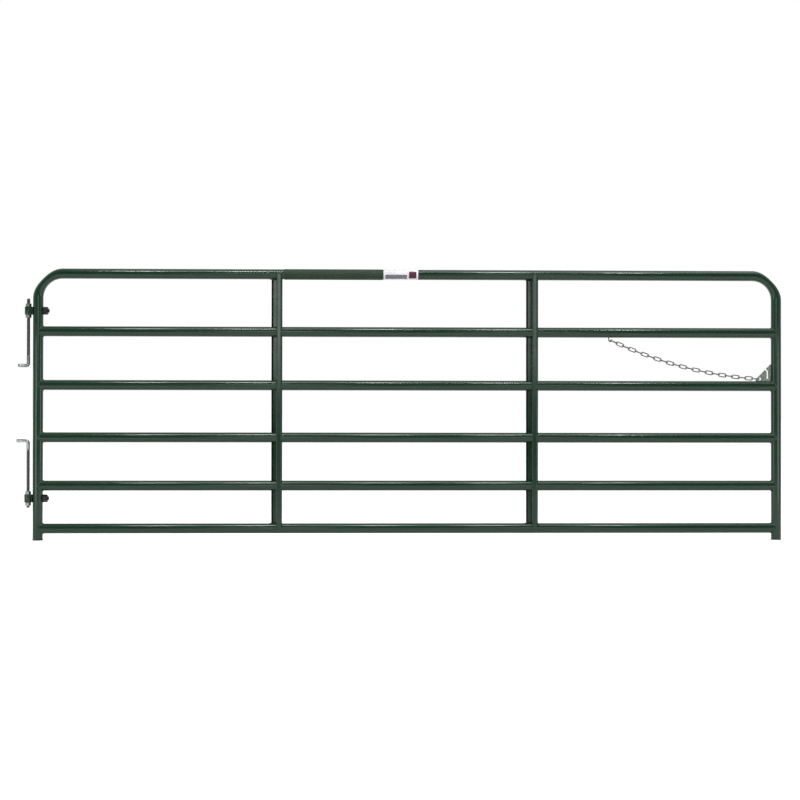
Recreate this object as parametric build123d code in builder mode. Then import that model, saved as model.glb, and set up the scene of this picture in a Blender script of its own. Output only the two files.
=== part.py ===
from build123d import *

import math
import os

# A six-rail tubular farm gate with bolt-through hinges, stowed hinge bolts and a chain latch.
#
# Frame, in millimetres: +X runs from the hinge line towards the latch side, +Y runs towards
# the gate's back and +Z is up. The origin is on the hinge line, at the lower hinge bolt's tip.

# --- Heights above the ground ------------------------------------------------------------
TIP_HEIGHT = 152.0  # the lower hinge bolt's tip, which is the origin
UPPER_HINGE_HEIGHT = 1072.0
LOWER_HINGE_HEIGHT = 196.0

# --- Tubes -------------------------------------------------------------------------------
TUBE_R = 23.8
TUBE_WALL = 1.25
HINGE_UPRIGHT_X = 45.0
UPRIGHT_SPACING = 3470.4
LATCH_UPRIGHT_X = HINGE_UPRIGHT_X + UPRIGHT_SPACING
BEND_R = 114.3
BEND_CRUSH = 4.6  # half of what the press takes off the bend's outer side
BEND_SPREAD = 3.0  # half of what the crushed bend gains front to back
BEND_SECTIONS = 7
FOOT_BELOW_RAIL = 31.8
CLEAR_GAPS = (152.4, 177.8, 196.9, 203.2, 222.3)  # between rails, from the bottom up
SADDLE_GAP = 0.05
TUBE_GAP = 0.05  # where the outer tube's straight stretches meet its bends

# --- Foot plugs --------------------------------------------------------------------------
PLUG_FLANGE_R = 25.2
PLUG_FLANGE_T = 3.0
PLUG_SPIGOT_R = TUBE_R - TUBE_WALL - 0.1
PLUG_SPIGOT_WALL = 2.0
PLUG_SPIGOT_LENGTH = 19.0

# --- Braces ------------------------------------------------------------------------------
BRACE_X = (HINGE_UPRIGHT_X + 1113.0, HINGE_UPRIGHT_X + 2313.0)
BRACE_SHEET = 2.0
BRACE_FLANGE_Y = 25.1  # mid-plane of each flange
BRACE_FLANGE = 19.0
BRACE_LIP = 7.0  # sideways and inwards, so the lip leans at 45 degrees
BRACE_BEND_R = 3.0
BRACE_ABOVE_TOP_AXIS = 4.0
BRACE_BELOW_BOTTOM_AXIS = 15.0
BRACE_HOLE_R = TUBE_R + 0.2

# --- Hinge eyes, on studs through the hinge upright --------------------------------------
BARREL_R = 17.5
BARREL_HEIGHT = 38.1
BARREL_CHAMFER = 1.2
STUD_R = 9.525
STUD_HOLE_R = 9.9
STUD_END_X = 97.0
STUD_NUT_WIDTH = 31.75
STUD_NUT_HEIGHT = 18.65
WASHER_R = 18.6
WASHER_T = 3.2
WASHER_GAP = 0.15

# --- Hinge bolts, stowed in the eyes -----------------------------------------------------
BOLT_R = 7.9375
BOLT_OVERALL = 320.7
BOLT_BEND_R = 12.0
BOLT_LEG = 54.0  # from the shank's axis to the leg's tip
BOLT_LEG_CHAMFER = 1.5
BORE_R = BOLT_R + 0.06
BOLT_NUT_WIDTH = 23.8
BOLT_NUT_HEIGHT = 13.9
BOLT_NUT_GAP = 0.3
UPPER_BOLT_STUB = 23.0
UPPER_LEG_DIRECTION = Vector(-1, -1, 0).normalized()
LOWER_LEG_DIRECTION = Vector(-1, 0, 0)

# --- Latch plate, in the corner between the third rail and the latch upright --------------
PLATE_T = 4.8
PLATE_LENGTH = 73.0
PLATE_HEIGHT = 79.0
PLATE_TOE = 8.0
PLATE_TOP = 4.0
PLATE_GAP = 0.1
CHAIN_HOLE_R = 6.5
CHAIN_HOLE_SLACK = 1.6  # from the end bar to the side of the hole that it hangs from
CHAIN_HOLE = (-53.0, 10.0)  # from the plate's corner
SLOT_X = -17.5
SLOT_WIDTH = 6.4
SLOT_BOTTOM = 11.0  # lowest point of the round pocket at the slot's end
SLOT_POCKET_R = 4.6
SLOT_TURN = 46.0
SLOT_MOUTH = 24.0  # reach of the slanting mouth, past the plate's edge

# --- Chain and the hook that keeps its free end ------------------------------------------
LINK_WIRE_R = 2.5
LINK_INNER_LENGTH = 32.4
LINK_INNER_WIDTH = 10.0
LINK_COUNT = 23
CHAIN_SAG = 0.00029  # curvature of the hanging chain, per millimetre
HOOK_X = HINGE_UPRIGHT_X + 2676.0
HOOK_WIRE_R = 2.5
HOOK_BEND_R = 6.5
HOOK_DROP = 11.0  # from the second rail's underside to the bend's centre
HOOK_TIP = 3.5
HOOK_GAP = 0.1

# --- Wrap-round labels on the top rail ---------------------------------------------------
LABEL_INNER_R = TUBE_R + 0.1
GREEN_LABEL_R = 24.9
WHITE_LABEL_R = 24.5
GREEN_LABEL_X = (HINGE_UPRIGHT_X + 1143.0, HINGE_UPRIGHT_X + 1612.0)
WHITE_LABEL_X = (HINGE_UPRIGHT_X + 1612.3, HINGE_UPRIGHT_X + 1775.0)

# --- Worked out from the above -----------------------------------------------------------
GROUND_Z = -TIP_HEIGHT
TUBE_END_Z = GROUND_Z + PLUG_FLANGE_T
UPPER_HINGE_Z = GROUND_Z + UPPER_HINGE_HEIGHT
LOWER_HINGE_Z = GROUND_Z + LOWER_HINGE_HEIGHT
BOTTOM_RAIL_Z = GROUND_Z + FOOT_BELOW_RAIL + TUBE_R
RAIL_Z = [BOTTOM_RAIL_Z]
for gap in CLEAR_GAPS:
    RAIL_Z.append(RAIL_Z[-1] + gap + 2 * TUBE_R)
RAIL_Z.reverse()  # top rail first
TOP_RAIL_Z = RAIL_Z[0]
LINK_END_R = LINK_INNER_WIDTH / 2 + LINK_WIRE_R
LINK_REACH = LINK_INNER_LENGTH / 2 + LINK_WIRE_R  # from a link's centre to its end bar's


def finish(piece, name):
    """Labels one finished piece and writes it as its own node."""
    piece.part.label = name
    export_step(piece.part, f"parts/{name}.step")


# --- The bent outer tube, in five stretches that end just short of each other -------------
def bend_section(corner_x, side, angle, inset):
    """One oval section of a pressed bend: angle runs from the upright (0) to the top rail."""
    crush = BEND_CRUSH * math.sin(2 * angle) ** 2
    spread = BEND_SPREAD * math.sin(2 * angle) ** 2
    outward = Vector(-side * math.cos(angle), 0, math.sin(angle))
    centre = Vector(corner_x, 0, TOP_RAIL_Z - BEND_R) + outward * (BEND_R - crush)
    along = Vector(side * math.sin(angle), 0, math.cos(angle))
    plane = Plane(origin=centre, x_dir=outward, z_dir=along)
    with BuildSketch(plane) as section:
        Ellipse(TUBE_R - crush - inset, TUBE_R + spread - inset)
    return section.sketch


def make_upright(name, upright_x, hinge_heights):
    """A straight side of the outer tube, drilled through for the hinge studs."""
    with BuildPart() as upright:
        with BuildSketch(Plane.XY.offset(TUBE_END_Z)):
            with Locations((upright_x, 0)):
                Circle(TUBE_R)
                Circle(TUBE_R - TUBE_WALL, mode=Mode.SUBTRACT)
        extrude(amount=TOP_RAIL_Z - BEND_R - TUBE_GAP - TUBE_END_Z)
        for hinge_z in hinge_heights:
            with BuildSketch(Plane.YZ.offset(upright_x)):
                with Locations((0, hinge_z)):
                    Circle(STUD_HOLE_R)
            extrude(amount=2 * TUBE_R, both=True, mode=Mode.SUBTRACT)
    finish(upright, name)


def make_bend(name, upright_x, side):
    """A pressed corner of the outer tube, flattened most at its middle."""
    angles = [math.pi / 2 * n / (BEND_SECTIONS - 1) for n in range(BEND_SECTIONS)]
    corner_x = upright_x + side * BEND_R
    with BuildPart() as bend:
        loft([bend_section(corner_x, side, a, 0) for a in angles])
        loft([bend_section(corner_x, side, a, TUBE_WALL) for a in angles], mode=Mode.SUBTRACT)
    finish(bend, name)


def make_top_rail():
    """The outer tube's straight run between its two bends."""
    with BuildPart() as rail:
        with BuildSketch(Plane.YZ.offset(HINGE_UPRIGHT_X + BEND_R + TUBE_GAP)):
            with Locations((0, TOP_RAIL_Z)):
                Circle(TUBE_R)
                Circle(TUBE_R - TUBE_WALL, mode=Mode.SUBTRACT)
        extrude(amount=UPRIGHT_SPACING - 2 * BEND_R - 2 * TUBE_GAP)
    finish(rail, "rail_1")


def make_foot_plug(name, upright_x):
    """A push-in plastic cap: a round flange under the tube's end and a hollow spigot in it."""
    with BuildPart() as plug:
        with BuildSketch(Plane.XY.offset(GROUND_Z)):
            with Locations((upright_x, 0)):
                Circle(PLUG_FLANGE_R)
        extrude(amount=PLUG_FLANGE_T)
        chamfer(plug.edges().group_by(Axis.Z)[0], 0.8)
        with BuildSketch(Plane.XY.offset(TUBE_END_Z)):
            with Locations((upright_x, 0)):
                Circle(PLUG_SPIGOT_R)
                Circle(PLUG_SPIGOT_R - PLUG_SPIGOT_WALL, mode=Mode.SUBTRACT)
        extrude(amount=PLUG_SPIGOT_LENGTH)
    finish(plug, name)


# --- Rails and braces --------------------------------------------------------------------
def make_rail(name, rail_z):
    """A straight tube, saddle-cut at both ends to sit against the uprights."""
    with BuildPart() as rail:
        with BuildSketch(Plane.YZ.offset(HINGE_UPRIGHT_X)):
            with Locations((0, rail_z)):
                Circle(TUBE_R)
                Circle(TUBE_R - TUBE_WALL, mode=Mode.SUBTRACT)
        extrude(amount=UPRIGHT_SPACING)
        with BuildSketch(Plane.XY.offset(rail_z)):
            with Locations((HINGE_UPRIGHT_X, 0), (LATCH_UPRIGHT_X, 0)):
                Circle(TUBE_R + SADDLE_GAP)
        extrude(amount=2 * TUBE_R, both=True, mode=Mode.SUBTRACT)
    finish(rail, name)


def make_brace(name, web_x):
    """A lipped Z-section upright that every rail passes through or seats in."""
    lip_x = BRACE_FLANGE + BRACE_LIP
    lip_y = BRACE_FLANGE_Y - BRACE_LIP
    foot_z = BOTTOM_RAIL_Z - BRACE_BELOW_BOTTOM_AXIS
    head_z = TOP_RAIL_Z + BRACE_ABOVE_TOP_AXIS
    outline = [
        (web_x + lip_x, -lip_y),
        (web_x + BRACE_FLANGE, -BRACE_FLANGE_Y),
        (web_x, -BRACE_FLANGE_Y),
        (web_x, BRACE_FLANGE_Y),
        (web_x - BRACE_FLANGE, BRACE_FLANGE_Y),
        (web_x - lip_x, lip_y),
    ]
    with BuildPart() as brace:
        with BuildSketch(Plane.XY.offset(foot_z)):
            with BuildLine():
                FilletPolyline(*outline, radius=BRACE_BEND_R)
            trace(line_width=BRACE_SHEET)
        extrude(amount=head_z - foot_z)
        with BuildSketch(Plane.YZ.offset(web_x)):
            with Locations(*[(0, rail_z) for rail_z in RAIL_Z]):
                Circle(BRACE_HOLE_R)
        extrude(amount=2 * lip_x, both=True, mode=Mode.SUBTRACT)
    finish(brace, name)


# --- Hinges ------------------------------------------------------------------------------
def make_hinge_eye(name, hinge_z):
    """A vertical barrel on the end of a stud that passes through the hinge upright."""
    with BuildPart() as eye:
        with BuildSketch(Plane.XY.offset(hinge_z - BARREL_HEIGHT / 2)):
            Circle(BARREL_R)
        extrude(amount=BARREL_HEIGHT)
        chamfer(eye.edges().filter_by(GeomType.CIRCLE), BARREL_CHAMFER)
        with BuildSketch(Plane.YZ.offset(BORE_R)):
            with Locations((0, hinge_z)):
                Circle(STUD_R)
        extrude(amount=STUD_END_X - BORE_R)
        with BuildSketch(Plane.XY.offset(hinge_z - BARREL_HEIGHT / 2)):
            Circle(BORE_R)
        extrude(amount=BARREL_HEIGHT, mode=Mode.SUBTRACT)
        chamfer(eye.faces().sort_by(Axis.X)[-1].edges(), BARREL_CHAMFER)
    finish(eye, name)


def add_hex_nut(plane, width, height, bore_r):
    """Adds one chamfered hexagon nut that stands on a plane, to the piece being built."""
    corner_r = width / math.sqrt(3)
    face_r = width / 2
    rise = (corner_r - face_r) * math.tan(math.radians(30))
    profile = Plane(origin=plane.origin, x_dir=plane.x_dir, z_dir=-plane.y_dir)
    with BuildPart(mode=Mode.PRIVATE) as nut:
        with BuildSketch(plane):
            RegularPolygon(face_r, 6, major_radius=False)
        extrude(amount=height)
        with BuildSketch(profile):
            with BuildLine():
                Polyline(
                    (0, 0),
                    (face_r, 0),
                    (corner_r, rise),
                    (corner_r, height - rise),
                    (face_r, height),
                    (0, height),
                    close=True,
                )
            make_face()
        revolve(axis=Axis(plane.origin, plane.z_dir), mode=Mode.INTERSECT)
        with BuildSketch(plane):
            Circle(bore_r)
        extrude(amount=height, mode=Mode.SUBTRACT)
    return nut.part


def make_stud_fasteners(level, hinge_z):
    """The stud's inner nut, and one washer against each side of the upright."""
    outer_face = HINGE_UPRIGHT_X - TUBE_R - WASHER_GAP - WASHER_T
    inner_face = HINGE_UPRIGHT_X + TUBE_R + WASHER_GAP
    with BuildPart() as washers:
        for face_x in (outer_face, inner_face):
            with BuildSketch(Plane.YZ.offset(face_x)):
                with Locations((0, hinge_z)):
                    Circle(WASHER_R)
                    Circle(STUD_HOLE_R, mode=Mode.SUBTRACT)
            extrude(amount=WASHER_T)
    finish(washers, f"stud_washers_{level}")

    seat = Plane(
        origin=(inner_face + WASHER_T, 0, hinge_z),
        x_dir=(0, 0, 1),
        z_dir=(1, 0, 0),
    )
    nut = add_hex_nut(seat, STUD_NUT_WIDTH, STUD_NUT_HEIGHT, STUD_R + 0.05)
    with BuildPart() as stud_nut:
        add(nut)
    finish(stud_nut, f"stud_nut_{level}")


def make_hinge_bolt(name, tip_z, leg_z, leg_direction):
    """An L-shaped bolt: a vertical shank from its tip to the bend, and a level leg."""
    up = 1 if leg_z > tip_z else -1
    bend_start = Vector(0, 0, leg_z - up * BOLT_BEND_R)
    bend_end = Vector(0, 0, leg_z) + leg_direction * BOLT_BEND_R
    leg_tip = Vector(0, 0, leg_z) + leg_direction * BOLT_LEG
    with BuildPart() as bolt:
        with BuildSketch(Plane(origin=(0, 0, tip_z), z_dir=(0, 0, up))):
            Circle(BOLT_R)
        extrude(amount=abs(bend_start.Z - tip_z))
        with BuildLine():
            TangentArc(bend_start, bend_end, tangent=(0, 0, up))
        with BuildSketch(Plane(origin=bend_start, z_dir=(0, 0, up))):
            Circle(BOLT_R)
        sweep()
        with BuildSketch(Plane(origin=bend_end, z_dir=leg_direction)):
            Circle(BOLT_R)
        extrude(amount=BOLT_LEG - BOLT_BEND_R)
        tip_edge = bolt.edges().filter_by(GeomType.CIRCLE).sort_by_distance(leg_tip)[0]
        chamfer(tip_edge, BOLT_LEG_CHAMFER)
    finish(bolt, name)


def make_bolt_nuts(level, hinge_z):
    """The pair of nuts that holds a hinge bolt in its eye, one above and one below it."""
    top = Plane.XY.offset(hinge_z + BARREL_HEIGHT / 2 + BOLT_NUT_GAP)
    bottom = Plane.XY.offset(hinge_z - BARREL_HEIGHT / 2 - BOLT_NUT_GAP - BOLT_NUT_HEIGHT)
    pair = [add_hex_nut(p, BOLT_NUT_WIDTH, BOLT_NUT_HEIGHT, BORE_R) for p in (top, bottom)]
    with BuildPart() as nuts:
        add(pair)
    finish(nuts, f"hinge_bolt_nuts_{level}")


# --- Latch plate -------------------------------------------------------------------------
def make_latch_plate():
    """A corner plate with a hole for the chain's end link and a slot that traps a link."""
    corner_x = LATCH_UPRIGHT_X - TUBE_R - PLATE_GAP
    corner_z = RAIL_Z[2] + TUBE_R + PLATE_GAP
    plane = Plane(origin=(corner_x, 0, corner_z), x_dir=(1, 0, 0), z_dir=(0, -1, 0))
    slot_seat = SLOT_BOTTOM + SLOT_POCKET_R
    with BuildPart() as plate:
        with BuildSketch(plane):
            with BuildLine():
                Polyline(
                    (0, 0),
                    (0, PLATE_HEIGHT),
                    (-PLATE_TOP, PLATE_HEIGHT),
                    (-PLATE_LENGTH, PLATE_TOE),
                    (-PLATE_LENGTH, 0),
                    close=True,
                )
            make_face()
            with Locations(CHAIN_HOLE):
                Circle(CHAIN_HOLE_R, mode=Mode.SUBTRACT)
            with Locations((SLOT_X, slot_seat)):
                Circle(SLOT_POCKET_R, mode=Mode.SUBTRACT)
            with Locations((SLOT_X, (slot_seat + SLOT_TURN) / 2)):
                SlotCenterToCenter(SLOT_TURN - slot_seat, SLOT_WIDTH, rotation=90, mode=Mode.SUBTRACT)
            with Locations((SLOT_X - SLOT_MOUTH / 2, SLOT_TURN + SLOT_MOUTH / 2)):
                mouth = SLOT_MOUTH * math.sqrt(2)
                SlotCenterToCenter(mouth, SLOT_WIDTH, rotation=135, mode=Mode.SUBTRACT)
        extrude(amount=PLATE_T / 2, both=True)
        sharp = plate.edges().filter_by(Axis.Y)
        outline = sharp.filter_by(lambda e: (e @ 0.5).X < corner_x - 1)
        fillet(outline.sort_by(Axis.X)[:2], 2.0)
    finish(plate, "latch_plate")


# --- Chain -------------------------------------------------------------------------------
def chain_ends():
    """Centres of the chain's two end bars: in the plate's hole and in the hook's bend."""
    hole_x = LATCH_UPRIGHT_X - TUBE_R - PLATE_GAP + CHAIN_HOLE[0]
    hole_z = RAIL_Z[2] + TUBE_R + PLATE_GAP + CHAIN_HOLE[1]
    bar_x = hole_x - (CHAIN_HOLE_R - LINK_WIRE_R - CHAIN_HOLE_SLACK)
    bend_z = RAIL_Z[1] - TUBE_R - HOOK_GAP - HOOK_DROP
    return Vector(bar_x, 0, hole_z), Vector(HOOK_X + HOOK_BEND_R, 0, bend_z)


def chain_curve():
    """The hanging chain's line, as a closely spaced list of points from plate to hook."""
    start, end = chain_ends()
    reach = start.X - end.X
    slope = (end.Z - start.Z) / reach - CHAIN_SAG * reach
    steps = 2000
    points = []
    for n in range(steps + 1):
        u = reach * n / steps
        points.append(Vector(start.X - u, 0, start.Z + slope * u + CHAIN_SAG * u * u))
    return points


def point_along(points, distance):
    """The point at a distance along a line of points."""
    for a, b in zip(points, points[1:]):
        step = (b - a).length
        if distance <= step:
            return a + (b - a) * (distance / step)
        distance -= step
    return points[-1]


def make_chain_link(name, centre, along, edge_on):
    """One welded link: two straight sides joined by half-round ends."""
    across = Vector(0, 1, 0)
    upwards = along.cross(across)
    facing = upwards if edge_on else across
    plane = Plane(origin=centre, x_dir=along, z_dir=facing)
    side = LINK_REACH - LINK_END_R
    with BuildPart() as link:
        for turn in (1, -1):
            with BuildLine(plane):
                first = Line((0, turn * LINK_END_R), (turn * side, turn * LINK_END_R))
                end = JernArc(first @ 1, first % 1, LINK_END_R, -180)
                Line(end @ 1, (0, -turn * LINK_END_R))
            start = plane.from_local_coords(Vector(0, turn * LINK_END_R, 0))
            with BuildSketch(Plane(origin=start, z_dir=along * turn)):
                Circle(LINK_WIRE_R)
            sweep()
    finish(link, name)


def make_chain():
    points = chain_curve()
    length = sum((b - a).length for a, b in zip(points, points[1:]))
    pitch = (length - 2 * LINK_REACH) / (LINK_COUNT - 1)
    clearance = 2 * LINK_REACH - pitch - 2 * LINK_WIRE_R
    print(f"chain {length:.1f} mm long, pitch {pitch:.2f} mm, clearance {clearance:.2f} mm")
    for n in range(LINK_COUNT):
        middle = LINK_REACH + n * pitch
        start = point_along(points, middle - LINK_REACH)
        end = point_along(points, middle + LINK_REACH)
        centre = (start + end) * 0.5
        make_chain_link(f"chain_link_{n + 1:02d}", centre, (end - start).normalized(), n % 2 == 0)


def make_keeper_hook():
    """A wire hook under the second rail, whose turned-up tip passes through the end link."""
    top_z = RAIL_Z[1] - TUBE_R - HOOK_GAP
    bend_z = top_z - HOOK_DROP
    with BuildPart() as hook:
        with BuildLine():
            drop = Line((HOOK_X, 0, top_z), (HOOK_X, 0, bend_z))
            turn = TangentArc(
                drop @ 1,
                (HOOK_X + 2 * HOOK_BEND_R, 0, bend_z),
                tangent=(0, 0, -1),
            )
            Line(turn @ 1, turn @ 1 + Vector(0, 0, HOOK_TIP))
        with BuildSketch(Plane(origin=(HOOK_X, 0, top_z), z_dir=(0, 0, -1))):
            Circle(HOOK_WIRE_R)
        sweep()
    finish(hook, "keeper_hook")


# --- Labels ------------------------------------------------------------------------------
def make_label(name, span, outer_r):
    """A label wrapped all the way round the top rail."""
    with BuildPart() as label:
        with BuildSketch(Plane.YZ.offset(span[0])):
            with Locations((0, TOP_RAIL_Z)):
                Circle(outer_r)
                Circle(LABEL_INNER_R, mode=Mode.SUBTRACT)
        extrude(amount=span[1] - span[0])
    finish(label, name)


def main():
    os.makedirs("parts", exist_ok=True)
    make_upright("upright_hinge_side", HINGE_UPRIGHT_X, [UPPER_HINGE_Z, LOWER_HINGE_Z])
    make_upright("upright_latch_side", LATCH_UPRIGHT_X, [])
    make_bend("bend_hinge_side", HINGE_UPRIGHT_X, 1)
    make_bend("bend_latch_side", LATCH_UPRIGHT_X, -1)
    make_top_rail()
    for number, rail_z in enumerate(RAIL_Z[1:], start=2):
        make_rail(f"rail_{number}", rail_z)
    make_brace("brace_hinge_side", BRACE_X[0])
    make_brace("brace_latch_side", BRACE_X[1])
    make_foot_plug("foot_plug_hinge_side", HINGE_UPRIGHT_X)
    make_foot_plug("foot_plug_latch_side", LATCH_UPRIGHT_X)
    make_hinge_eye("hinge_eye_upper", UPPER_HINGE_Z)
    make_hinge_eye("hinge_eye_lower", LOWER_HINGE_Z)
    make_stud_fasteners("upper", UPPER_HINGE_Z)
    make_stud_fasteners("lower", LOWER_HINGE_Z)
    upper_tip = UPPER_HINGE_Z + BARREL_HEIGHT / 2 + BOLT_NUT_GAP + BOLT_NUT_HEIGHT + UPPER_BOLT_STUB
    upper_leg = upper_tip - BOLT_OVERALL + BOLT_R
    make_hinge_bolt("hinge_bolt_upper", upper_tip, upper_leg, UPPER_LEG_DIRECTION)
    make_hinge_bolt("hinge_bolt_lower", 0.0, BOLT_OVERALL - BOLT_R, LOWER_LEG_DIRECTION)
    make_bolt_nuts("upper", UPPER_HINGE_Z)
    make_bolt_nuts("lower", LOWER_HINGE_Z)
    make_latch_plate()
    make_keeper_hook()
    make_chain()
    make_label("label_green", GREEN_LABEL_X, GREEN_LABEL_R)
    make_label("label_white", WHITE_LABEL_X, WHITE_LABEL_R)


main()
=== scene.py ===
import math

import bmesh
import bpy
from mathutils import Matrix, Vector


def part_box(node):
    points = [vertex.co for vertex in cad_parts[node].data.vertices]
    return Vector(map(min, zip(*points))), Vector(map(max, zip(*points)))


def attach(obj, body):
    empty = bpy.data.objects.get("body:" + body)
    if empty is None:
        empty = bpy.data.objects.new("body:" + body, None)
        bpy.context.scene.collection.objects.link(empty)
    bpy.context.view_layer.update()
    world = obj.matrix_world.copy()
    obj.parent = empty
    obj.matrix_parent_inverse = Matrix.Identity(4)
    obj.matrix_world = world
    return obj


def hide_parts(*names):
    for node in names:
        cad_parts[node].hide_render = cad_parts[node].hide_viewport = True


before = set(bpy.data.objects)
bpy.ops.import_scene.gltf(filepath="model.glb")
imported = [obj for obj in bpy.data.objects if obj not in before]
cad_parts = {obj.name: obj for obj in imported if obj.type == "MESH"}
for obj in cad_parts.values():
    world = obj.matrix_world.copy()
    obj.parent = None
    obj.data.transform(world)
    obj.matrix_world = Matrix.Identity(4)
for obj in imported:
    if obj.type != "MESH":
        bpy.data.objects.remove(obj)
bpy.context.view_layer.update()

# A powder-coated tubular field gate. Lengths are in metres, in the frame of the gate's own
# model: +X from the hinges to the latch, +Y to the back, +Z up.

MM = 0.001

# --- Camera -------------------------------------------------------------------------------
CAMERA_PLACE = (1.5212, -7.5045, 0.4527)
CAMERA_YAW = 0.0286  # turned towards the latch side, in radians
CAMERA_PITCH = 0.00705
CAMERA_ROLL = 0.0013
CAMERA_LENS = 71.89  # on a 36 mm sensor

# --- Sizes read from the gate's own parts ---------------------------------------------------
def middle(node):
    low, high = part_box(node)
    return (low + high) / 2


OUTER_TUBE = [
    "upright_hinge_side",
    "bend_hinge_side",
    "rail_1",
    "bend_latch_side",
    "upright_latch_side",
]
RAIL_NAMES = ["rail_2", "rail_3", "rail_4", "rail_5", "rail_6"]
RAIL_Z = {name: middle(name).z for name in RAIL_NAMES}
TOP_RAIL_Z = middle("rail_1").z
HINGE_UPRIGHT_X = middle("upright_hinge_side").x
LATCH_UPRIGHT_X = middle("upright_latch_side").x
TUBE_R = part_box("rail_2")[1].z - RAIL_Z["rail_2"]
TUBE_END_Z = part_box("upright_hinge_side")[0].z
GROUND_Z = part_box("foot_plug_hinge_side")[0].z

# The pressed bends in the top corners: their radius, and how far the press flattens them.
BEND_R = 114.3 * MM
BEND_CRUSH = 4.6 * MM
BEND_SPREAD = 3.0 * MM
BEND_STEPS = 28
SPRING_Z = TOP_RAIL_Z - BEND_R  # where the uprights end and the bends begin

TUBE_SIDES = 96
COPE_OVERLAP = 0.3 * MM  # how far a rail's coped end reaches into the upright's wall


# --- Working with meshes --------------------------------------------------------------------
MERGE_DISTANCE = 1e-6


def deselect():
    bpy.ops.object.select_all(action="DESELECT")


def pick(piece):
    """Makes one piece the only selected and active one."""
    deselect()
    piece.select_set(True)
    bpy.context.view_layer.objects.active = piece


def edit(piece):
    pick(piece)
    bpy.ops.object.mode_set(mode="EDIT")


def leave_edit():
    bpy.ops.object.mode_set(mode="OBJECT")


def reshape(piece, move):
    """Moves each vertex of a piece to where move(co) says."""
    for vertex in piece.data.vertices:
        vertex.co = move(vertex.co.copy())
    piece.data.update()


def face_outwards(piece):
    edit(piece)
    bpy.ops.mesh.select_all(action="SELECT")
    bpy.ops.mesh.remove_doubles(threshold=MERGE_DISTANCE)
    bpy.ops.mesh.normals_make_consistent(inside=False)
    leave_edit()


def settle(piece):
    """Puts a piece's place into its mesh, so that its object lies at the origin."""
    pick(piece)
    bpy.ops.object.transform_apply(location=True, rotation=True, scale=True)


def apply_modifier(piece, kind, **settings):
    pick(piece)
    modifier = piece.modifiers.new(kind.title(), kind)
    for key, value in settings.items():
        setattr(modifier, key, value)
    bpy.ops.object.modifier_apply(modifier=modifier.name)


def bevel(piece, width, segments=2, angle=60):
    """Rounds the edges of a piece that turn by more than an angle in degrees."""
    apply_modifier(
        piece,
        "BEVEL",
        width=width,
        segments=segments,
        limit_method="ANGLE",
        angle_limit=math.radians(angle),
    )


def edit_opened(piece):
    """Enters edit mode on a ring of vertices and cuts the edge from its last to its first."""
    edit(piece)
    mesh = bmesh.from_edit_mesh(piece.data)
    ends = {0, len(mesh.verts) - 1}
    for edge in mesh.edges:
        edge.select_set({v.index for v in edge.verts} == ends)
    bmesh.update_edit_mesh(piece.data)
    bpy.ops.mesh.delete(type="EDGE")


def place(piece, name, body, material, smooth=35, stands_for=()):
    """Names a finished piece, gives it its finish and fastens it to the body it moves with."""
    settle(piece)
    pick(piece)
    bpy.ops.object.shade_smooth_by_angle(angle=math.radians(smooth))
    piece.name = name
    piece.data.name = name
    if not piece.data.materials:
        piece.data.materials.append(material)
    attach(piece, body)
    if stands_for:
        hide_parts(*stands_for)
    return piece


def copy_piece(piece, name, shift):
    """A second piece with its own mesh, moved by a shift."""
    twin = piece.copy()
    twin.data = piece.data.copy()
    bpy.context.collection.objects.link(twin)
    twin.name = name
    twin.data.name = name
    twin.data.transform(Matrix.Translation(shift))
    return twin


def join(pieces):
    pick(pieces[0])
    for piece in pieces[1:]:
        piece.select_set(True)
    bpy.ops.object.join()
    return bpy.context.view_layer.objects.active


# --- Materials ------------------------------------------------------------------------------
def hex_colour(code):
    """An sRGB hex colour as the linear values that the shaders work in."""
    channels = []
    for start in (1, 3, 5):
        value = int(code[start:start + 2], 16) / 255
        channels.append(value / 12.92 if value <= 0.04045 else ((value + 0.055) / 1.055) ** 2.4)
    return (*channels, 1.0)


def add_node(tree, kind, settings=None, **links):
    """Adds a node. Settings are attributes or input values by name; links feed its inputs."""
    node = tree.nodes.new(kind)
    for key, value in (settings or {}).items():
        if key in node.inputs:
            node.inputs[key].default_value = value
        else:
            setattr(node, key, value)
    for key, socket in links.items():
        tree.links.new(socket, node.inputs[key.replace("_", " ")])
    return node


def new_material(name, **shader):
    """A material with one surface shader, whose fixed values are set on its own sockets."""
    material = bpy.data.materials.new(name)
    material.use_nodes = True
    tree = material.node_tree
    surface = tree.nodes["Principled BSDF"]
    for key, value in shader.items():
        surface.inputs[key.replace("_", " ")].default_value = value
    coordinates = tree.nodes.new("ShaderNodeTexCoord")
    return material, tree, surface, coordinates.outputs["Object"]


def mottle(tree, place_in, size, low, high, detail=3.0):
    """A soft noise, size metres across, mapped from low to high."""
    settings = {"Scale": 1 / size, "Detail": detail}
    noise = add_node(tree, "ShaderNodeTexNoise", settings, Vector=place_in)
    return add_node(
        tree,
        "ShaderNodeMapRange",
        {"From Min": 0.3, "From Max": 0.7, "To Min": low, "To Max": high},
        Value=noise.outputs["Fac"],
    ).outputs["Result"]


def two_tone(tree, factor, first, second):
    """A colour that drifts between two hex colours."""
    blend = add_node(tree, "ShaderNodeMix", {"data_type": "RGBA"})
    colours = [s for s in blend.inputs if s.type == "RGBA"]
    colours[0].default_value = hex_colour(first)
    colours[1].default_value = hex_colour(second)
    tree.links.new(factor, blend.inputs[0])
    return [s for s in blend.outputs if s.type == "RGBA"][0]


def relief(tree, surface, height, depth, strength):
    """Feeds a height pattern into the surface as bumps of a real depth in metres."""
    bump = add_node(tree, "ShaderNodeBump", {"Distance": depth, "Strength": strength}, Height=height)
    tree.links.new(bump.outputs["Normal"], surface.inputs["Normal"])


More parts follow.
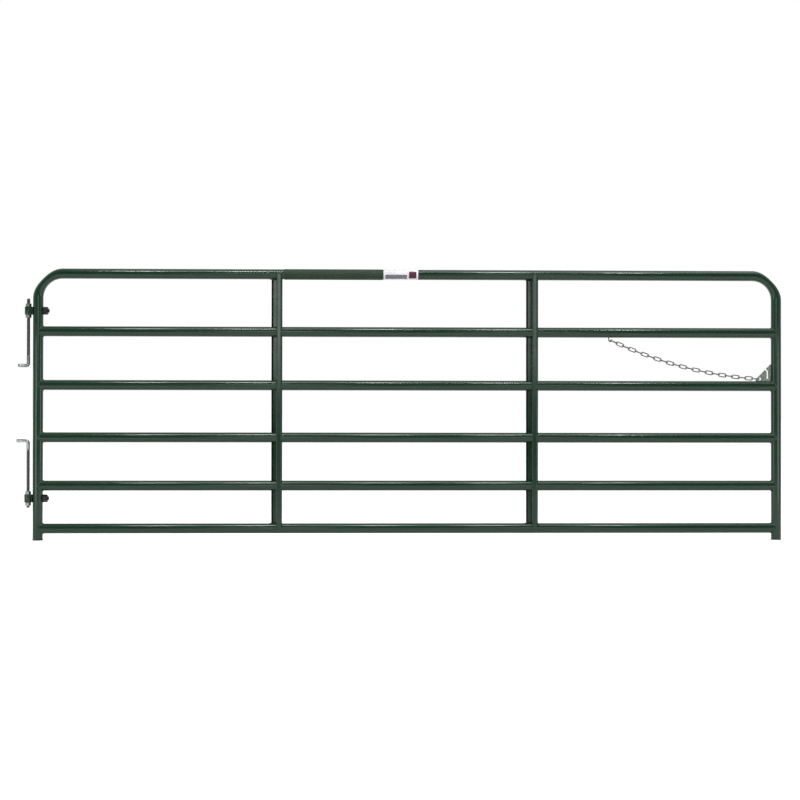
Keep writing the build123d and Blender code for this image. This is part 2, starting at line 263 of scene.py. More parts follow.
def powder_coat():
    """Gloss polyester powder coat on steel: dark green, with the orange peel of baked powder."""
    material, tree, surface, at = new_material("green_polyester_powder_coat", Specular_IOR_Level=0.27)
    drift = mottle(tree, at, 260 * MM, 0.0, 1.0)
    tree.links.new(two_tone(tree, drift, "#0B2216", "#0F281B"), surface.inputs["Base Color"])
    tree.links.new(mottle(tree, at, 60 * MM, 0.13, 0.17), surface.inputs["Roughness"])
    # Orange peel has cells of about 2.5 mm and is some 20 micrometres deep.
    peel = add_node(tree, "ShaderNodeTexNoise", {"Scale": 1 / (2.5 * MM), "Detail": 1.5}, Vector=at)
    relief(tree, surface, peel.outputs["Fac"], 0.02 * MM, 0.5)
    return material


def weld_coat():
    """The same powder coat where it lies over a weld bead: thicker, and dulled by spatter."""
    material, tree, surface, at = new_material("green_powder_coat_on_weld", Specular_IOR_Level=0.27)
    drift = mottle(tree, at, 12 * MM, 0.0, 1.0)
    tree.links.new(two_tone(tree, drift, "#0B2116", "#122D20"), surface.inputs["Base Color"])
    tree.links.new(mottle(tree, at, 6 * MM, 0.3, 0.46), surface.inputs["Roughness"])
    # Spatter grains are 1.2 mm across and stand up to 0.15 mm proud.
    spatter = add_node(tree, "ShaderNodeTexNoise", {"Scale": 1 / (1.2 * MM), "Detail": 3.0}, Vector=at)
    relief(tree, surface, spatter.outputs["Fac"], 0.15 * MM, 0.7)
    return material


def zinc_plate(name, dull, bright, rough, crystal):
    """Electroplated zinc on steel: a soft grey metal, clouded by handling and storage."""
    material, tree, surface, at = new_material(name, Metallic=1.0)
    cloud = mottle(tree, at, crystal, 0.0, 1.0, detail=4.0)
    tree.links.new(two_tone(tree, cloud, dull, bright), surface.inputs["Base Color"])
    sheen = mottle(tree, at, crystal / 2, rough - 0.06, rough + 0.08)
    tree.links.new(sheen, surface.inputs["Roughness"])
    # Rolling and handling marks, under a millimetre across.
    marks = add_node(tree, "ShaderNodeTexNoise", {"Scale": 1 / (0.8 * MM), "Detail": 4.0}, Vector=at)
    relief(tree, surface, marks.outputs["Fac"], 0.04 * MM, 0.5)
    return material


def moulded_plastic():
    """Black polyethylene foot plug: satin, with a fine spark-eroded grain."""
    material, tree, surface, at = new_material("black_moulded_polyethylene")
    drift = mottle(tree, at, 15 * MM, 0.0, 1.0)
    tree.links.new(two_tone(tree, drift, "#1B1C1B", "#272827"), surface.inputs["Base Color"])
    tree.links.new(mottle(tree, at, 8 * MM, 0.45, 0.6), surface.inputs["Roughness"])
    grain = add_node(tree, "ShaderNodeTexNoise", {"Scale": 1 / (0.6 * MM), "Detail": 2.0}, Vector=at)
    relief(tree, surface, grain.outputs["Fac"], 0.05 * MM, 0.6)
    return material


def sleeve_vinyl(name, dark, light, rough):
    """Printed vinyl wrapped round a tube: matt, with shallow pulls along its length."""
    material, tree, surface, at = new_material(name, Specular_IOR_Level=0.15)
    drift = mottle(tree, at, 60 * MM, 0.0, 1.0)
    tree.links.new(two_tone(tree, drift, dark, light), surface.inputs["Base Color"])
    sheen = mottle(tree, at, 20 * MM, rough - 0.05, rough + 0.05)
    tree.links.new(sheen, surface.inputs["Roughness"])
    pulls = add_node(tree, "ShaderNodeMapping", {"Scale": (0.25, 1.0, 1.0)}, Vector=at).outputs["Vector"]
    ripple = add_node(tree, "ShaderNodeTexNoise", {"Scale": 1 / (14 * MM), "Detail": 1.0}, Vector=pulls)
    relief(tree, surface, ripple.outputs["Fac"], 0.3 * MM, 0.4)
    return material


GREEN = powder_coat()
GREEN_WELD = weld_coat()
BRIGHT_ZINC = zinc_plate("bright_zinc_plate", "#696C6B", "#8E9190", 0.3, 9 * MM)
# The threads get a darker copy of the bright zinc: painted shade for the hollows between their teeth.
THREAD_ZINC_PAINTED_SHADE = zinc_plate("zinc_plate_with_painted_thread_shade", "#4D504F", "#6E7170", 0.38, 7 * MM)
# A much darker copy of the zinc, for the stud's nut, its washers and its threaded end.
DARK_ZINC = zinc_plate("dark_zinc_plate", "#232422", "#343532", 0.42, 8 * MM)
CHAIN_ZINC = zinc_plate("zinc_plated_chain_wire", "#474947", "#6C6E6C", 0.38, 6 * MM)
PLATE_ZINC = zinc_plate("dull_zinc_plate_on_sheet", "#525852", "#6E756D", 0.45, 10 * MM)
PLASTIC = moulded_plastic()
GREEN_VINYL = sleeve_vinyl("matt_green_vinyl", "#1E2B1F", "#222F23", 0.7)
WHITE_VINYL = sleeve_vinyl("white_vinyl", "#A3A3A7", "#B4B3B7", 0.4)
VIOLET_INK = sleeve_vinyl("violet_ink_on_vinyl", "#55535B", "#5F5C66", 0.4)
MAROON_INK = sleeve_vinyl("maroon_ink_on_vinyl", "#361821", "#40202A", 0.4)


# --- Tubes ----------------------------------------------------------------------------------
def crush_bends(co):
    """Flattens a point of the outer frame where the press squeezed its corner."""
    for side, centre_x in ((1, HINGE_UPRIGHT_X + BEND_R), (-1, LATCH_UPRIGHT_X - BEND_R)):
        across, rise = (centre_x - co.x) * side, co.z - SPRING_Z
        if across > 0 and rise > 0:
            angle = math.atan2(rise, across)
            amount = math.sin(2 * angle) ** 2
            reach = math.hypot(across, rise)
            crush = BEND_CRUSH * amount
            squeezed = BEND_R - crush + (reach - BEND_R) * (1 - crush / TUBE_R)
            co.x = centre_x - side * squeezed * math.cos(angle)
            co.z = SPRING_Z + squeezed * math.sin(angle)
            co.y *= 1 + BEND_SPREAD * amount / TUBE_R
    return co


def extrude_ring(shift):
    bpy.ops.mesh.extrude_edges_move(TRANSFORM_OT_translate={"value": shift})


def spin_bend(centre_x):
    """Carries the selected ring a quarter turn round one of the top corners."""
    bpy.ops.mesh.spin(
        steps=BEND_STEPS, angle=-math.pi / 2, center=(centre_x, 0, SPRING_Z), axis=(0, 1, 0)
    )


def make_outer_frame():
    """One long tube, bent twice: up the hinge side, over the top and down the latch side."""
    deselect()
    bpy.ops.mesh.primitive_circle_add(
        vertices=TUBE_SIDES, radius=TUBE_R, location=(HINGE_UPRIGHT_X, 0, TUBE_END_Z)
    )
    tube = bpy.context.object
    edit(tube)
    bpy.ops.mesh.select_all(action="SELECT")
    extrude_ring((0, 0, SPRING_Z - TUBE_END_Z))
    spin_bend(HINGE_UPRIGHT_X + BEND_R)
    extrude_ring((LATCH_UPRIGHT_X - HINGE_UPRIGHT_X - 2 * BEND_R, 0, 0))
    spin_bend(LATCH_UPRIGHT_X - BEND_R)
    extrude_ring((0, 0, TUBE_END_Z - SPRING_Z))
    leave_edit()
    settle(tube)
    reshape(tube, crush_bends)
    face_outwards(tube)
    place(tube, "outer_frame_tube", "gate", GREEN, stands_for=OUTER_TUBE)


def cope(co):
    """Moves a point of a rail's end onto the round face of the upright it meets."""
    depth = math.sqrt(max(TUBE_R ** 2 - co.y ** 2, 0)) - COPE_OVERLAP
    co.x = HINGE_UPRIGHT_X + depth if co.x < 0.5 else LATCH_UPRIGHT_X - depth
    return co


def make_rails():
    """Straight tubes, coped at both ends to fit round the uprights."""
    for name in RAIL_NAMES:
        deselect()
        bpy.ops.mesh.primitive_circle_add(
            vertices=TUBE_SIDES,
            radius=TUBE_R,
            location=(0, 0, RAIL_Z[name]),
            rotation=(0, math.pi / 2, 0),
        )
        rail = bpy.context.object
        edit(rail)
        bpy.ops.mesh.select_all(action="SELECT")
        extrude_ring((1, 0, 0))
        leave_edit()
        settle(rail)
        reshape(rail, cope)
        face_outwards(rail)
        place(rail, f"smooth_{name}", "gate", GREEN, stands_for=[name])


# --- Braces ---------------------------------------------------------------------------------
BRACE_FLANGE_Y = 25.1 * MM
BRACE_FLANGE = 19.0 * MM
BRACE_LIP = 7.0 * MM
BRACE_SHEET = 2.0 * MM
BRACE_BEND_R = 3.0 * MM
BRACE_BEND_STEPS = 5
BRACE_GUARD = 0.8 * MM  # from an arc's end to the extra point on the flat beside it
BRACE_END_GAP = 0.4 * MM  # between the strip's ends and those of its CAD box
BRACE_END = 3.0 * MM  # the short lengths at both ends


def round_corners(corners, radius, steps):
    """A bent strip's centre line, with each inner corner turned into an arc of short steps."""
    line = [Vector(corners[0])]
    for before, corner, after in zip(corners, corners[1:], corners[2:]):
        before, corner, after = Vector(before), Vector(corner), Vector(after)
        back, ahead = (before - corner).normalized(), (after - corner).normalized()
        half = back.angle(ahead) / 2
        centre = corner + (back + ahead).normalized() * radius / math.sin(half)
        start = corner + back * radius / math.tan(half)
        finish = corner + ahead * radius / math.tan(half)
        # A point just outside each end of the arc keeps the shading of the flats flat.
        line.append(start + back * BRACE_GUARD)
        for n in range(steps + 1):
            chord = (start.lerp(finish, n / steps) - centre).normalized()
            line.append(centre + chord * radius)
        line.append(finish + ahead * BRACE_GUARD)
    line.append(Vector(corners[-1]))
    return line


def make_brace(node):
    """Roll-formed sheet with a Z section: web, two flanges and a leaning lip on each."""
    low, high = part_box(node)
    web_x = middle(node).x
    lip_x, lip_y = BRACE_FLANGE + BRACE_LIP, BRACE_FLANGE_Y - BRACE_LIP
    section = round_corners(
        [
            (lip_x, -lip_y),
            (BRACE_FLANGE, -BRACE_FLANGE_Y),
            (0, -BRACE_FLANGE_Y),
            (0, BRACE_FLANGE_Y),
            (-BRACE_FLANGE, BRACE_FLANGE_Y),
            (-lip_x, lip_y),
        ],
        BRACE_BEND_R,
        BRACE_BEND_STEPS,
    )
    deselect()
    bpy.ops.mesh.primitive_circle_add(vertices=len(section), radius=TUBE_R, location=(0, 0, 0))
    brace = bpy.context.object
    for vertex, point in zip(brace.data.vertices, section):
        vertex.co = (web_x + point.x, point.y, low.z + BRACE_END_GAP)
    edit_opened(brace)
    bpy.ops.mesh.select_all(action="SELECT")
    # Short first and last lengths keep the bevelled ends from shading the whole strip.
    between = high.z - low.z - 2 * (BRACE_END_GAP + BRACE_END)
    for length in (BRACE_END, between, BRACE_END):
        extrude_ring((0, 0, length))
    leave_edit()
    apply_modifier(brace, "SOLIDIFY", thickness=BRACE_SHEET, offset=0.0, use_even_offset=True)
    bevel(brace, 0.35 * MM)
    face_outwards(brace)
    place(
        brace, f"formed_{node}", "gate", GREEN, smooth=50, stands_for=[node]
    )


# --- Welds ----------------------------------------------------------------------------------
RIPPLE_LENGTH = 3.2 * MM  # from one freeze line of the bead to the next
SADDLE_MINOR = 0.25  # the torus's minor radius before it is laid on the seam
SADDLE_EASE = 3.0 * MM  # rounds the seam off where it crosses the upright's sides
SADDLE_WIDTH = 3.6 * MM  # half the bead's width


def make_bead(name, path, length, width, height):
    """A short weld bead: path(t) gives a point, its direction and which way the bead stands."""
    deselect()
    rings = max(16, int(length / MM))
    bpy.ops.mesh.primitive_uv_sphere_add(segments=12, ring_count=rings, radius=1)
    bead = bpy.context.object

    def lay(co):
        t = (math.asin(max(-1.0, min(1.0, co.z))) / math.pi) + 0.5
        point, along, out = path(t)
        across = along.cross(out).normalized()
        swell = 1 + 0.14 * math.cos(2 * math.pi * t * length / RIPPLE_LENGTH)
        round_off = math.hypot(co.x, co.y)
        full = min(1.0, 1.6 * round_off) / max(round_off, 1e-6)
        sideways, upwards = co.x * full * width * swell, co.y * full * height * swell
        return point + across * sideways + out * upwards

    reshape(bead, lay)
    face_outwards(bead)
    return place(bead, name, "gate", GREEN_WELD, smooth=60)


def make_saddle_bead(name, upright_x, side, rail_z):
    """The closed bead round a rail's coped end, where it meets an upright."""
    deselect()
    bpy.ops.mesh.primitive_torus_add(
        major_segments=180, minor_segments=10, major_radius=1.0, minor_radius=SADDLE_MINOR
    )
    bead = bpy.context.object

    def seam(theta):
        y, z = TUBE_R * math.cos(theta), TUBE_R * math.sin(theta)
        x = side * math.sqrt(z * z + SADDLE_EASE * SADDLE_EASE)
        return Vector((upright_x + x, y, rail_z + z))

    def lay(co):
        theta = math.atan2(co.y, co.x)
        spread = (math.hypot(co.x, co.y) - 1.0) / SADDLE_MINOR
        lift = co.z / SADDLE_MINOR
        point = seam(theta)
        along = (seam(theta + 0.01) - seam(theta - 0.01)).normalized()
        rail_out = Vector((0, math.cos(theta), math.sin(theta)))
        post_out = Vector((point.x - upright_x, point.y, 0)).normalized()
        out = (rail_out + post_out).normalized()
        across = along.cross(out).normalized()
        corner = 1 - max(0.0, rail_out.dot(post_out))
        swell = 1 + 0.12 * math.sin(47 * theta) + 0.05 * math.sin(11 * theta + upright_x)
        height = (1.5 + 0.7 * corner) * MM * swell
        sideways, upwards = spread * SADDLE_WIDTH * swell, lift * height + corner * 0.6 * MM
        return point + across * sideways + out * upwards

    reshape(bead, lay)
    face_outwards(bead)
    return place(bead, name, "gate", GREEN_WELD, smooth=60)


def make_frame_welds():
    """One bead at each end of each rail, all from the first bead of their side."""
    first = RAIL_NAMES[0]
    for label, upright_x, side in (("hinge", HINGE_UPRIGHT_X, 1), ("latch", LATCH_UPRIGHT_X, -1)):
        bead = make_saddle_bead(f"weld_{first}_{label}", upright_x, side, RAIL_Z[first])
        for name in RAIL_NAMES[1:]:
            shift = Vector((0, 0, RAIL_Z[name] - RAIL_Z[first]))
            twin = copy_piece(bead, f"weld_{name}_{label}", shift)
            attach(twin, "gate")


def make_brace_welds(node):
    """Beads where the rails pass through a brace's web, and where its head and foot are joined."""
    web_x = middle(node).x
    bead_r = TUBE_R + 0.4 * MM
    spread = math.radians(52)

    def ring(rail_z, facing):
        def path(t):
            angle = facing + spread * (2 * t - 1)
            sine, cosine = math.sin(angle), math.cos(angle)
            point = Vector((web_x - BRACE_SHEET, -bead_r * cosine, rail_z + bead_r * sine))
            along = Vector((0, sine, cosine))
            out = Vector((-0.7, -cosine, sine)).normalized()
            return point, along, out
        return path

    length = 2 * spread * bead_r
    for rail, rail_z in [("rail_1", TOP_RAIL_Z), *RAIL_Z.items()]:
        for face, facing in (("front", 0.0), ("back", math.pi)):
            path = ring(rail_z, facing)
            make_bead(f"weld_{node}_{rail}_{face}", path, length, width=3.0 * MM, height=1.6 * MM)

    def shoulder(start, end, out):
        def path(t):
            return start.lerp(end, t), (end - start).normalized(), out
        return path

    for label, side, y in (("rear", -1, 6.0 * MM), ("front", 1, -17.0 * MM)):
        under = math.sqrt(TUBE_R ** 2 - y ** 2)
        for end, rail_z, up in (("head", TOP_RAIL_Z, -1), ("foot", RAIL_Z["rail_6"], 1)):
            start = Vector((web_x + side * 14 * MM, y, rail_z + up * (under + 0.8 * MM)))
            finish = Vector((web_x + side * 36 * MM, y, rail_z + up * (under - 0.4 * MM)))
            path = shoulder(start, finish, Vector((0, 0, up)))
            make_bead(f"weld_{node}_{label}_{end}", path, 22 * MM, width=3.4 * MM, height=3.0 * MM)


# --- Threads, hinge eyes and hinge bolts ------------------------------------------------------
THREAD_STEPS = 28  # to one turn


def make_thread(major_r, depth, pitch, length):
    """A screw thread standing on the origin along +Z: one tooth carried round and up."""
    deselect()
    minor_r = major_r - depth
    tooth = [(minor_r, 0), (minor_r, 0.12), (major_r, 0.44), (major_r, 0.68), (minor_r, 1.0)]
    bpy.ops.mesh.primitive_circle_add(vertices=len(tooth), radius=major_r)
    thread = bpy.context.object
    for vertex, (radius, rise) in zip(thread.data.vertices, tooth):
        vertex.co = (radius, 0, rise * pitch)
    edit_opened(thread)
    leave_edit()
    apply_modifier(
        thread,
        "SCREW",
        angle=2 * math.pi,
        screw_offset=pitch,
        iterations=max(1, round(length / pitch) - 1),
        steps=THREAD_STEPS,
        render_steps=THREAD_STEPS,
        use_merge_vertices=True,
        merge_threshold=MERGE_DISTANCE,
    )
    return thread


def make_round_bar(radius, start, path):
    """A round bar whose path is a list of straight moves and quarter bends."""
    deselect()
    bpy.ops.mesh.primitive_circle_add(
        vertices=40, radius=radius, location=start, fill_type="NGON"
    )
    bar = bpy.context.object
    edit(bar)
    bpy.ops.mesh.select_all(action="SELECT")
    for step in path:
        if "move" in step:
            bpy.ops.mesh.extrude_region_move(TRANSFORM_OT_translate={"value": step["move"]})
        else:
            bpy.ops.mesh.spin(
                steps=12, angle=step["angle"], center=step["centre"], axis=step["axis"]
            )
    leave_edit()
    return bar


BOLT_R = 7.9375 * MM
BOLT_BEND_R = 12.0 * MM
BOLT_PLAIN = 32 * MM  # unthreaded shank next to the bend
BOLT_PITCH = 2.309 * MM
BOLT_THREAD_DEPTH = 1.25 * MM
BOLT_LEG = 53.4 * MM  # from the shank's axis to the leg's end


def make_hinge_bolt(level, up, turn):
    """An L-shaped bolt: rolled thread on its shank, plain round bar at its bend and leg."""
    node = f"hinge_bolt_{level}"
    low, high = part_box(node)
    tip_z, leg_z = (low.z, high.z - BOLT_R) if up > 0 else (high.z, low.z + BOLT_R)
    bend_z = leg_z - up * BOLT_BEND_R
    thread_top = bend_z - up * BOLT_PLAIN
    bar = make_round_bar(
        BOLT_R,
        (0, 0, thread_top),
        [
            {"move": (0, 0, up * BOLT_PLAIN)},
            {"angle": up * math.pi / 2, "centre": (-BOLT_BEND_R, 0, bend_z), "axis": (0, 1, 0)},
            {"move": (-(BOLT_LEG - BOLT_BEND_R), 0, 0)},
        ],
    )
    face_outwards(bar)
    settle(bar)
    bevel(bar, 1.6 * MM)
    bar.data.transform(Matrix.Rotation(turn, 4, "Z"))
    body = f"{level}_hinge_bolt"
    place(
        bar, f"{node}_plain_end", body, BRIGHT_ZINC, smooth=50, stands_for=[node]
    )

    length = abs(thread_top - tip_z)
    thread = make_thread(BOLT_R, BOLT_THREAD_DEPTH, BOLT_PITCH, length - 1.0 * MM)
    flip = Matrix.Identity(4) if up > 0 else Matrix.Rotation(math.pi, 4, "X")
    thread.data.transform(Matrix.Translation((0, 0, tip_z + up * 0.9 * MM)) @ flip)
    core = make_round_bar(
        BOLT_R - BOLT_THREAD_DEPTH,
        (0, 0, tip_z),
        [{"move": (0, 0, thread_top - tip_z)}],
    )
    face_outwards(core)
    settle(core)
    bevel(core, 0.8 * MM)
    shank = join([thread, core])
    face_outwards(shank)
    # Its zinc is painted darker than the plain end, as painted shade between the thread's teeth.
    place(shank, f"{node}_thread", body, THREAD_ZINC_PAINTED_SHADE, smooth=40)


STUD_R = 9.525 * MM
STUD_PITCH = 2.54 * MM


STUD_DEPTH = 1.4 * MM  # of its thread
STUD_START = 10 * MM  # from the hinge line to the stud's near end
STUD_OVERLAP = 4 * MM  # how far the threaded end reaches back into the nut


def select_ends(piece):
    """Enters edit mode and selects the two flat ends of an upright cylinder."""
    edit(piece)
    mesh = bmesh.from_edit_mesh(piece.data)
    for face in mesh.faces:
        face.select_set(abs(face.normal.z) > 0.9)
    bmesh.update_edit_mesh(piece.data)


def make_barrel(barrel_r, height, middle_z):
    """The eye itself: a cylinder with its bore let in a little at both ends."""
    deselect()
    bpy.ops.mesh.primitive_cylinder_add(
        vertices=64, radius=barrel_r, depth=height, location=(0, 0, middle_z)
    )
    barrel = bpy.context.object
    settle(barrel)
    select_ends(barrel)
    bpy.ops.mesh.inset(thickness=barrel_r - BOLT_R - 0.4 * MM)
    bpy.ops.mesh.inset(thickness=0.4 * MM, depth=-1.2 * MM)
    leave_edit()
    bevel(barrel, 1.3 * MM, segments=3, angle=50)
    return barrel


def make_bar_along_x(sides, radius, start_x, end_x, z, edge):
    """A round bar from start_x to end_x, with its ends bevelled."""
    deselect()
    bpy.ops.mesh.primitive_cylinder_add(
        vertices=sides,
        radius=radius,
        depth=end_x - start_x,
        location=((end_x + start_x) / 2, 0, z),
        rotation=(0, math.pi / 2, 0),
    )
    bar = bpy.context.object
    settle(bar)
    bevel(bar, edge, angle=50)
    return bar


def make_neck(barrel_r, z):
    """The weld round the stud where it meets the barrel, drawn back over the barrel's round."""
    deselect()
    bpy.ops.mesh.primitive_torus_add(
        major_segments=64,
        minor_segments=12,
        major_radius=STUD_R + 1.2 * MM,
        minor_radius=2.0 * MM,
        rotation=(0, math.pi / 2, 0),
        location=(barrel_r - 1.5 * MM, 0, z),
    )
    neck = bpy.context.object
    settle(neck)

    def saddle(co):
        co.x -= barrel_r - math.sqrt(max(barrel_r ** 2 - co.y ** 2, 0.0))
        return co

    reshape(neck, saddle)
    return neck


def make_stud_end(nut_end, end_x, z):
    """The threaded end of a stud, beyond its nut."""
    thread = make_thread(STUD_R, STUD_DEPTH, STUD_PITCH, end_x - nut_end + STUD_OVERLAP)
    turn = Matrix.Translation((end_x - 0.6 * MM, 0, z)) @ Matrix.Rotation(-math.pi / 2, 4, "Y")
    thread.data.transform(turn)
    core_r = STUD_R - STUD_DEPTH + 0.05 * MM
    core = make_bar_along_x(40, core_r, nut_end - STUD_OVERLAP, end_x, z, 0.9 * MM)
    tail = join([thread, core])

    def clip(co):
        co.x = min(max(co.x, nut_end - STUD_OVERLAP - 1 * MM), end_x)
        return co

    reshape(tail, clip)
    face_outwards(tail)
    return tail


def make_hinge_eye(level):
    """A painted barrel on a stud, with a bead of weld round its neck and a threaded end."""
    node = f"hinge_eye_{level}"
    low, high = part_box(node)
    middle_z = (low.z + high.z) / 2
    barrel_r = -low.x
    nut_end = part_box(f"stud_nut_{level}")[1].x
    barrel = make_barrel(barrel_r, high.z - low.z, middle_z)
    stud = make_bar_along_x(48, STUD_R, STUD_START, nut_end, middle_z, 0.5 * MM)
    neck = make_neck(barrel_r, middle_z)
    eye = join([barrel, stud, neck])
    place(
        eye, f"{node}_barrel", "gate", GREEN, smooth=40, stands_for=[node]
    )
    tail = make_stud_end(nut_end, high.x, middle_z)
    place(tail, f"{node}_thread", "gate", DARK_ZINC, smooth=40)


# --- Labels ---------------------------------------------------------------------------------
def make_sleeve(node, name, materials, paint, corner):
    """A label wrapped round the top rail, its ends drawn in above and below like round corners."""
    low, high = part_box(node)
    outer_r = (high.z - low.z) / 2
    length = high.x - low.x
    steps = 56
    deselect()
    bpy.ops.mesh.primitive_circle_add(
        vertices=TUBE_SIDES,
        radius=outer_r - 0.05 * MM,
        location=(low.x, 0, TOP_RAIL_Z),
        rotation=(0, math.pi / 2, 0),
    )
    sleeve = bpy.context.object
    edit(sleeve)
    bpy.ops.mesh.select_all(action="SELECT")
    for _ in range(steps):
        extrude_ring((length / steps, 0, 0))
    leave_edit()
    settle(sleeve)

    def soften(co):
        angle = math.atan2(co.z - TOP_RAIL_Z, -co.y)
        edge = max(0.0, abs(math.sin(angle)) - 0.55) / 0.45
        inset = corner * (1 - math.sqrt(max(0.0, 1 - edge * edge)))
        reach = (co.x - low.x) / length
        co.x += inset * (1 - reach) ** 8 - inset * reach ** 8
        return co

    reshape(sleeve, soften)
    for material in materials:
        sleeve.data.materials.append(material)
    for face in sleeve.data.polygons:
        angle = math.atan2(face.center.z - TOP_RAIL_Z, -face.center.y)
        face.material_index = paint((face.center.x - low.x) / length, math.degrees(angle))
    face_outwards(sleeve)
    apply_modifier(sleeve, "SOLIDIFY", thickness=0.5 * MM, offset=-1.0)
    place(sleeve, name, "gate", materials[0], smooth=50, stands_for=[node])


def paint_green_label(reach, angle):
    """The green label has one finish all over."""
    return 0


def paint_white_label(reach, angle):
    """Plain blocks on the white label: a violet band low on its front, a maroon square."""
    if 0.74 < reach < 0.94 and -50 < angle < 34:
        return 2
    if 0.05 < reach < 0.68 and -55 < angle < -3:
        return 1
    return 0


# --- Chain ----------------------------------------------------------------------------------
LINK_SIDE = 7.5 * MM  # from a link's middle to the centre of its wire
LINK_WELD_R = 2.95 * MM
LINK_WELD_STRETCH = 1.25
LINK_FLAT = 8 * MM  # a link thinner than this in Y lies flat in the gate's plane


def make_link_welds():
    """A small swelling on one side of each link, where its wire was butt-welded."""
    links = [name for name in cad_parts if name.startswith("chain_link_")]
    for name in sorted(links):
        low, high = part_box(name)
        centre = (low + high) / 2
        body = "chain" if name in (min(links), max(links)) else name
        vertices = [v.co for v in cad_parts[name].data.vertices]
        far = max(vertices, key=lambda co: co.x)
        along = Vector((far.x - centre.x, 0, far.z - centre.z)).normalized()
        flat = (high.y - low.y) < LINK_FLAT
        across = along.cross(Vector((0, 1, 0))) if flat else Vector((0, 1, 0))
        side = centre + across.normalized() * LINK_SIDE
        deselect()
        bpy.ops.mesh.primitive_uv_sphere_add(segments=16, ring_count=10, radius=LINK_WELD_R)
        weld = bpy.context.object
        edit(weld)
        bpy.ops.mesh.select_all(action="SELECT")
        bpy.ops.transform.resize(value=(1, 1, LINK_WELD_STRETCH))
        leave_edit()
        turn = Vector((0, 0, 1)).rotation_difference(along).to_matrix().to_4x4()
        weld.data.transform(Matrix.Translation(side) @ turn)
        place(weld, f"{name}_weld", body, CHAIN_ZINC, smooth=60)


# --- Parts that keep their own shape --------------------------------------------------------
KEPT_FINISHES = {
    "foot_plug": PLASTIC,
    "stud_washers": DARK_ZINC,
    "stud_nut": DARK_ZINC,
    "hinge_bolt_nuts": BRIGHT_ZINC,
    "latch_plate": PLATE_ZINC,
    "keeper_hook": GREEN_WELD,
    "chain_link": CHAIN_ZINC,
}


def paint_kept_parts():
    """Gives the parts that are shown as they come their finishes, by how their names start."""
    for name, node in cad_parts.items():
        for start, material in KEPT_FINISHES.items():
            if name.startswith(start):
                for slot in node.material_slots:
                    slot.material = material


# --- Scene ----------------------------------------------------------------------------------
FLOOR_SIZE = 120
FLOOR_MIDDLE_Y = 54  # most of the floor lies behind the gate, up to the horizon
FLOOR_GAP = 0.2 * MM


def make_floor():
    """A plain pale floor just under the foot plugs."""
    deselect()
    middle_x = (HINGE_UPRIGHT_X + LATCH_UPRIGHT_X) / 2
    bpy.ops.mesh.primitive_plane_add(
        size=FLOOR_SIZE, location=(middle_x, FLOOR_MIDDLE_Y, GROUND_Z - FLOOR_GAP)
    )
    floor = bpy.context.object
    floor.name = "floor"
    material, *_ = new_material(
        "pale_studio_floor",
        Base_Color=hex_colour("#EDEDEB"),
        Roughness=0.9,
        Specular_IOR_Level=0.0,
        Emission_Color=(1, 1, 1, 1),
        Emission_Strength=0.4,
    )
    floor.data.materials.append(material)


def make_world():
    """Soft white surroundings, dimmer behind the camera so that the tubes keep dark centres."""
    world = bpy.data.worlds.new("studio")
    bpy.context.scene.world = world
    world.use_nodes = True
    tree = world.node_tree
    background = tree.nodes["Background"]
    direction = tree.nodes.new("ShaderNodeTexCoord").outputs["Generated"]
    parts = add_node(tree, "ShaderNodeSeparateXYZ", Vector=direction)
    ramp = {
        "From Min": -0.95,
        "From Max": -0.1,
        "To Min": 0.12,
        "To Max": 1.0,
        "interpolation_type": "SMOOTHSTEP",
    }
    shade = add_node(tree, "ShaderNodeMapRange", ramp, Value=parts.outputs["Y"])
    seen = tree.nodes.new("ShaderNodeLightPath").outputs["Is Camera Ray"]
    level = add_node(tree, "ShaderNodeMath", {"operation": "MAXIMUM"})
    tree.links.new(shade.outputs["Result"], level.inputs[0])
    tree.links.new(seen, level.inputs[1])
    background.inputs["Color"].default_value = (1, 1, 1, 1)
    tree.links.new(level.outputs["Value"], background.inputs["Strength"])


def add_softbox(name, place_at, aim, size, power):
    """A rectangular lamp, in metres and watts, that the camera doesn't see."""
    data = bpy.data.lights.new(name, "AREA")
    data.shape = "RECTANGLE"
    data.size, data.size_y = size
    data.energy = power
    lamp = bpy.data.objects.new(name, data)
    bpy.context.collection.objects.link(lamp)
    lamp.visible_camera = False
    lamp.location = place_at
    lamp.rotation_euler = (Vector(aim) - Vector(place_at)).to_track_quat("-Z", "Y").to_euler()


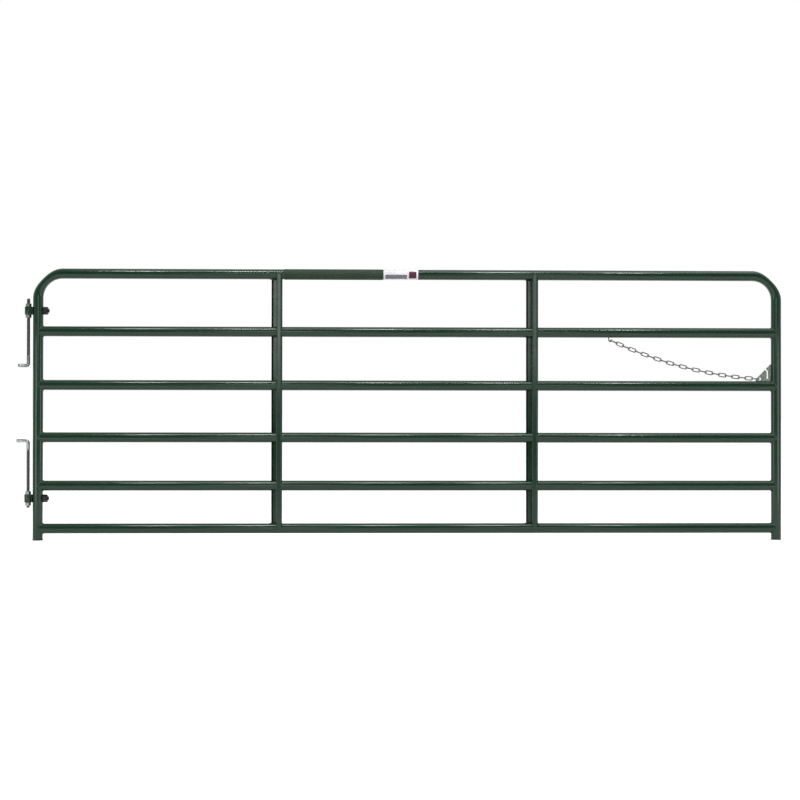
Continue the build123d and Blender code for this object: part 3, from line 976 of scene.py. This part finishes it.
def make_camera():
    data = bpy.data.cameras.new("camera")
    data.sensor_width = 36
    data.lens = CAMERA_LENS
    data.clip_end = 300
    camera = bpy.data.objects.new("camera", data)
    bpy.context.collection.objects.link(camera)
    turn = (
        Matrix.Rotation(-CAMERA_YAW, 4, "Z")
        @ Matrix.Rotation(math.pi / 2 + CAMERA_PITCH, 4, "X")
        @ Matrix.Rotation(CAMERA_ROLL, 4, "Z")
    )
    camera.matrix_world = Matrix.Translation(CAMERA_PLACE) @ turn
    bpy.context.scene.camera = camera


RAIL_LAMPS_X = (0.0, 0.78, 1.7, 2.55, 3.45)


def add_lamps():
    add_softbox("overhead_softbox", (2.4, -0.9, 4.2), (2.2, 0, 0.6), (5.0, 1.6), 100)
    # A row of lamps overhead draws short bright streaks along the rails.
    for number, x in enumerate(RAIL_LAMPS_X, 1):
        add_softbox(f"overhead_lamp_{number}", (x, -2.0, 4.1), (x, 0, 0.6), (0.3, 0.5), 30)
    # Panels at both ends light the sides of the uprights and the ends of the rails.
    add_softbox("end_softbox_hinge_side", (-1.2, -2.0, 0.4), (0.5, 0, 0.4), (1.2, 1.0), 20)
    add_softbox("end_softbox_latch_side", (4.8, -2.0, 0.4), (3.0, 0, 0.4), (1.2, 1.0), 20)
    # Panels behind the camera are mirrored in the flat braces, in their upper bays only.
    add_softbox("far_softbox_hinge_side", (0.7, -9.5, 1.9), (1.15, 0, 0.8), (1.2, 2.2), 52)
    add_softbox("far_softbox_latch_side", (3.4, -9.5, 1.9), (2.35, 0, 0.8), (1.2, 2.2), 38)


make_camera()
make_world()
make_floor()
add_lamps()
bpy.context.scene.view_settings.view_transform = "Standard"

make_outer_frame()
make_rails()
for brace in ("brace_hinge_side", "brace_latch_side"):
    make_brace(brace)
    make_brace_welds(brace)
make_frame_welds()
make_hinge_eye("upper")
make_hinge_eye("lower")
make_hinge_bolt("upper", -1, math.radians(45))
make_hinge_bolt("lower", 1, 0.0)
make_sleeve(
    "label_green",
    "green_label_sleeve",
    [GREEN_VINYL],
    paint=paint_green_label,
    corner=9 * MM,
)
make_sleeve(
    "label_white",
    "white_label_sleeve",
    [WHITE_VINYL, VIOLET_INK, MAROON_INK],
    paint=paint_white_label,
    corner=3 * MM,
)
make_link_welds()
paint_kept_parts()
